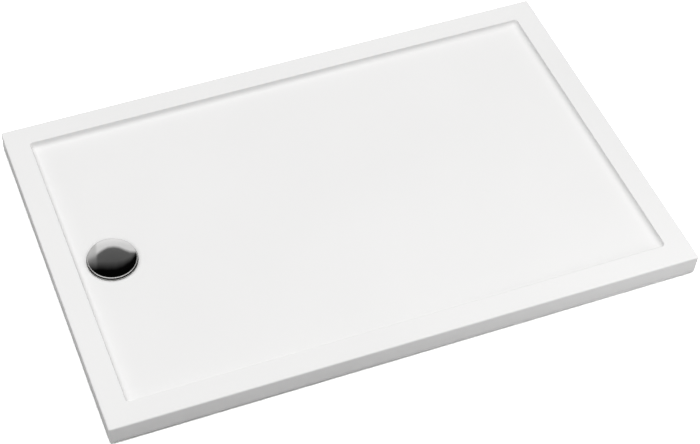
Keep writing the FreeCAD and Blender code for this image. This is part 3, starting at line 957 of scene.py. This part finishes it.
def pad_mesh():
    """The foot's pad, with a rounded edge and shallow ribs from its hub to its edge."""
    soft = pad_edge_r
    profile = [(0.0, pad_low_z), (pad_r - soft, pad_low_z)]
    profile += arc((pad_r - soft, pad_low_z + soft), soft, -90, 0, steps=4)[1:]
    profile += arc((pad_r - soft, pad_edge_z - soft), soft, 0, 80, steps=4)
    first_ribbed = len(profile) + 1
    ribbed = range(first_ribbed, first_ribbed + len(rib_shares))
    outer = pad_r - 2 * soft
    inner = pad_hub_r + pad_lip
    for share in (rib_shares[0] - rib_ramp, *rib_shares, rib_shares[-1] + rib_ramp, 1.0):
        profile.append((outer + (inner - outer) * share, pad_edge_z + (pad_shoulder_z - pad_edge_z) * share))
    profile += [(pad_hub_r + soft, pad_shoulder_z + hub_foot), (pad_hub_r, pad_shoulder_z + 2 * hub_foot)]
    profile += arc((pad_hub_r - soft, pad_top_z - soft), soft, 0, 90, steps=4)
    profile += [(pad_opening_r + opening_edge, pad_top_z), (pad_opening_r, pad_top_z - opening_edge),
                (pad_opening_r, pad_cavity_top_z), (pad_cavity_r, pad_cavity_top_z),
                (pad_cavity_r, stud_low_z), (0.0, stud_low_z)]
    per_rib = pad_sides // pad_ribs
    loops = []
    for number, (radius, height) in enumerate(profile):
        loop = []
        for i, (x, y) in enumerate(circle((0, 0), radius, count=pad_sides)):
            rise = rib_height if number in ribbed and i % per_rib < rib_columns else 0.0
            loop.append((x, y, height + rise))
        loops.append(loop)
    return skin(loops, closed=False)


def sole_mesh():
    """The rubber under a pad, with rounded edges and round grooves that grip the floor."""
    half, soft = groove_half_width, sole_edge_r
    profile = [(0.0, 0.0)]
    for number in range(groove_count):
        middle = groove_first_r + number * groove_spacing
        profile += [(middle - half, 0.0), (middle - half / 2, groove_depth)]
        profile += [(middle + half / 2, groove_depth), (middle + half, 0.0)]
    profile.append((sole_r - soft, 0.0))
    profile += arc((sole_r - soft, soft), soft, -90, 0, steps=4)[1:]
    profile += [(sole_r, pad_low_z - sole_top_edge), (sole_r - sole_top_edge, pad_low_z), (0.0, pad_low_z)]
    return lathe(profile, (0, 0), segments=72)


feet = foot_places()
finish_piece("base_board_fine", base_board_mesh(), "tray", "base_board")
nut_places = [Matrix.Translation((*at, 0)) for at in feet.values()]
lock_nuts = joined([(nut_mesh(lock_nut_low_z, weld_nut_low_z), nut_places)])
finish_piece("lock_nuts_fine", lock_nuts, "tray", "lock_nuts")
screw_spots = []
for number, at in enumerate(feet.values()):
    for corner, (x, y) in enumerate(screw_places()):
        turn = Matrix.Rotation(screw_turn_by_foot * number + screw_turn_by_corner * corner, 4, "Z")
        screw_spots.append(Matrix.Translation((at[0] + x, at[1] + y, 0)) @ turn)
finish_piece("plate_screws_fine", joined([(plate_screw_mesh(), screw_spots)]), "tray", "plate_screws")
foot_kinds = (
    ("foot_plate_", foot_plate_mesh(), "tray"),
    ("foot_stud_", stud_mesh(), "stud_"),
    ("foot_pad_", pad_mesh(), "foot_"),
    ("foot_sole_", sole_mesh(), "foot_"),
)
for foot_name, at in feet.items():
    for kind, mesh, body in foot_kinds:
        body_name = body if body == "tray" else body + foot_name
        placed = joined([(mesh, [Matrix.Translation((*at, 0))])])
        finish_piece(kind + foot_name + "_fine", placed, body_name, kind + foot_name)


# --- floor, light and camera ---
floor_half = 5.0
floor_lit_level = 0.60
floor_seen_level = 2.4

# The room. A line on its walls is a ray's height at places to the left, and shades are levels by height.
room_back = (0.33, 0.94, 0.0)
room_left = (-0.94, 0.33, 0.0)
room_level = 0.35
far_wall_level = 0.84
far_wall_begin = (0.25, 0.5)
far_wall_foot = (0.44, 0.52)
side_reach = 0.35
wall_top = ((-0.35, 0.66), (-0.17, 0.702), (-0.12, 0.715), (-0.063, 0.702), (0.0, 0.674), (0.063, 0.661),
            (0.12, 0.664), (0.19, 0.695), (0.24, 0.724), (0.35, 0.76))
wall_top_blur = (-0.022, 0.018)
ceiling_edge = ((-0.35, 0.62), (-0.18, 0.735), (-0.163, 0.79), (-0.132, 0.83), (-0.063, 0.878), (0.02, 0.900),
                (0.117, 0.895), (0.262, 0.858), (0.35, 0.82))
ceiling_blur = (-0.065, 0.004)
pale_wall = ((0.0, 1.0), (0.56, 1.0), (0.63, 0.85), (0.70, 0.80), (1.0, 0.80))
upper_wall = ((0.0, 0.145), (0.70, 0.135), (0.80, 0.115), (0.85, 0.095), (1.0, 0.095))
left_wall = ((0.0, 0.68), (0.67, 0.64), (0.707, 0.56), (0.73, 0.45), (0.752, 0.30), (0.773, 0.22),
             (0.80, 0.18), (1.0, 0.15))
left_wall_edge = (0.225, 0.25)
ceiling_level = 0.002
lamp_direction = (0.277, 0.89, 0.36)
lamp_spread = (0.994, 0.998)
lamp_level = 3.0
room_glow = 0.12
backdrop_level = 1.5

# The camera. Its sensor and lens are in millimetres and its turn is in degrees.
camera_place = (-1.09956, -2.35885, 3.08101)
camera_turn = (39.00855, 0.14512, -19.30392)
sensor_width = 36.0
camera_lens = 87.378
camera_shift = (0.1772, 0.0260)
camera_reach = 100.0


def floor():
    """A plain floor that looks paler to the camera than it lights the tray."""
    mesh = bpy.data.meshes.new("floor")
    points = [(sign_x * floor_half, sign_y * floor_half, 0) for sign_x, sign_y in corners]
    mesh.from_pydata(points, [], [(0, 1, 2, 3)])
    mat = bpy.data.materials.new("pale_floor")
    mat.use_nodes = True
    tree = mat.node_tree
    tree.nodes.clear()
    path = tree.nodes.new("ShaderNodeLightPath")
    mix = tree.nodes.new("ShaderNodeMixShader")
    for socket, level in zip(mix.inputs[1:], (floor_lit_level, floor_seen_level)):
        matt = tree.nodes.new("ShaderNodeBsdfDiffuse")
        matt.inputs["Color"].default_value = (level, level, level, 1.0)
        tree.links.new(matt.outputs[0], socket)
    out = tree.nodes.new("ShaderNodeOutputMaterial")
    tree.links.new(path.outputs["Is Camera Ray"], mix.inputs[0])
    tree.links.new(mix.outputs[0], out.inputs["Surface"])
    mesh.materials.append(mat)
    obj = bpy.data.objects.new("floor", mesh)
    bpy.context.scene.collection.objects.link(obj)


def studio():
    """The world: a room for polished metal to show, a pale backdrop for the camera and a dim even glow.

    The room has a pale wall, a grey upper wall and a black ceiling with one lamp. Only glossy rays see it.
    """
    world = bpy.data.worlds.new("studio")
    world.use_nodes = True
    bpy.context.scene.world = world
    tree = world.node_tree
    background = tree.nodes["Background"]
    coords = tree.nodes.new("ShaderNodeTexCoord")
    split = tree.nodes.new("ShaderNodeSeparateXYZ")
    tree.links.new(coords.outputs["Generated"], split.inputs["Vector"])
    height = split.outputs["Z"]

    def along(direction):
        """How far a ray points that way, from -1 to 1."""
        node = tree.nodes.new("ShaderNodeVectorMath")
        node.operation = "DOT_PRODUCT"
        node.inputs[1].default_value = Vector(direction).normalized()
        tree.links.new(coords.outputs["Generated"], node.inputs[0])
        return node.outputs["Value"]

    left = along(room_left)
    across = to_range(world, left, 0.0, 1.0, from_low=-side_reach, from_high=side_reach)

    def above(line, blur):
        """From 0 below a line to 1 above it."""
        stops = [((at + side_reach) / (2 * side_reach), (level,) * 3) for at, level in line]
        over = math_of(world, "SUBTRACT", height, ramp(world, across, stops))
        return to_range(world, over, 0.0, 1.0, *blur)

    def levels(stops):
        """Shades of grey by height."""
        return ramp(world, height, [(at, (level,) * 3) for at, level in stops])

    room = mixed(world, above(wall_top, wall_top_blur), levels(pale_wall), levels(upper_wall))
    room = mixed(world, to_range(world, left, 0.0, 1.0, *left_wall_edge), room, levels(left_wall))
    room = mixed(world, above(ceiling_edge, ceiling_blur), room, (ceiling_level,) * 3)
    lamp = to_range(world, along(lamp_direction), 0.0, 1.0, *lamp_spread)
    room = mixed(world, lamp, room, (lamp_level,) * 3)
    far = to_range(world, along(room_back), 0.0, 1.0, *far_wall_begin)
    far = math_of(world, "MULTIPLY", far, to_range(world, height, 0.0, 1.0, *far_wall_foot))
    path = tree.nodes.new("ShaderNodeLightPath")
    strength = tree.nodes.new("ShaderNodeMix")
    glow = to_range(world, path.outputs["Is Camera Ray"], room_glow, backdrop_level)
    tree.links.new(path.outputs["Is Glossy Ray"], strength.inputs[0])
    tree.links.new(glow, strength.inputs[2])
    tree.links.new(to_range(world, far, room_level, far_wall_level), strength.inputs[3])
    tree.links.new(strength.outputs[0], background.inputs["Strength"])
    colour = mixed(world, path.outputs["Is Glossy Ray"], (1.0, 1.0, 1.0), room)
    tree.links.new(colour, background.inputs["Color"])


def soft_light(name, at, size, power, aim):
    """A light that only matt surfaces show: neither the camera nor the chrome sees its panel."""
    data = bpy.data.lights.new(name, "AREA")
    data.shape = "RECTANGLE"
    data.size, data.size_y = size
    data.energy = power
    light = bpy.data.objects.new(name, data)
    bpy.context.scene.collection.objects.link(light)
    light.location = at
    light.rotation_euler = (Vector(aim) - Vector(at)).to_track_quat("-Z", "Y").to_euler()
    light.visible_glossy = False
    light.visible_camera = False


def camera():
    """The photo's viewpoint, solved from the corners of the tray and of its recess."""
    data = bpy.data.cameras.new("camera")
    data.sensor_width = sensor_width
    data.lens = camera_lens
    data.shift_x, data.shift_y = camera_shift
    data.clip_end = camera_reach
    obj = bpy.data.objects.new("camera", data)
    bpy.context.scene.collection.objects.link(obj)
    obj.location = camera_place
    obj.rotation_euler = [math.radians(a) for a in camera_turn]
    bpy.context.scene.camera = obj


floor()
studio()
soft_light("overhead", (-0.2, -0.2, 8.0), size=(7.0, 7.0), power=675.0, aim=(-0.2, -0.2, 0.0))
soft_light("front", (0.5, -2.5, 0.5), size=(1.5, 0.6), power=0.8, aim=(0.2, -0.45, 0.03))
soft_light("front_right", (0.95, -1.35, 0.6), size=(0.5, 0.5), power=2.7, aim=(0.65, -0.45, 0.03))
soft_light("left", (-1.2, 0.0, 0.15), size=(1.0, 0.15), power=0.5, aim=(-0.7, 0.0, 0.03))
camera()
bpy.context.scene.view_settings.view_transform = "Standard"
